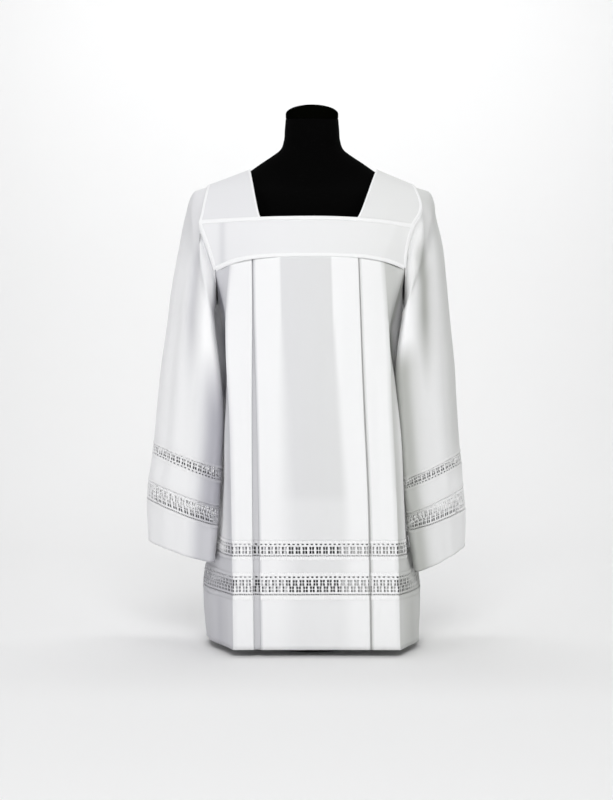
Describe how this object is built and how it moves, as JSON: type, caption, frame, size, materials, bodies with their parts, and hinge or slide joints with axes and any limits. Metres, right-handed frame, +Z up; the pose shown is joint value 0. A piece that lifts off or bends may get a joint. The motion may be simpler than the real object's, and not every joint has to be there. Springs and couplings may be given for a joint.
{
  "type": "surplice on a dress form",
  "caption": "White church surplice with square yoke, pleated skirt, wide sleeves and openwork lace bands, worn on a black limbless dress form that stands on a round base.",
  "frame": {"origin": "centre of the base plate's underside, on the form's axis", "axes": "+Z up; the garment's front faces -Y; +X is to the right as seen from the front"},
  "size_m": [0.7066, 0.308, 1.1571],
  "materials": {
    "cloth": "plain white lightweight cloth, matte, slightly sheer",
    "lace": "white openwork lace insertion, matte",
    "form": "black stretch jersey over a smooth torso, matte",
    "cap": "very dark neck cap, dull sheen",
    "stand": "black powder-coated steel"
  },
  "bodies": {
    "root": {"yoke_band_front": "cloth", "skirt_front": "cloth", "hem_lace_upper_front": "lace", "hem_strip_front": "cloth", "hem_lace_lower_front": "lace", "hem_border_front": "cloth", "yoke_band_back": "cloth", "skirt_back": "cloth", "hem_lace_upper_back": "lace", "hem_strip_back": "cloth", "hem_lace_lower_back": "lace", "hem_border_back": "cloth", "yoke_strap_left": "cloth", "sleeve_left": "cloth", "sleeve_lace_upper_left_front": "lace", "sleeve_lace_upper_left_back": "lace", "sleeve_strip_left": "cloth", "sleeve_lace_lower_left_front": "lace", "sleeve_lace_lower_left_back": "lace", "sleeve_border_left": "cloth", "yoke_strap_right": "cloth", "sleeve_right": "cloth", "sleeve_lace_upper_right_front": "lace", "sleeve_lace_upper_right_back": "lace", "sleeve_strip_right": "cloth", "sleeve_lace_lower_right_front": "lace", "sleeve_lace_lower_right_back": "lace", "sleeve_border_right": "cloth", "form_body": "form", "neck_cap": "cap", "pole": "stand", "base_plate": "stand"}
  },
  "joints": []
}
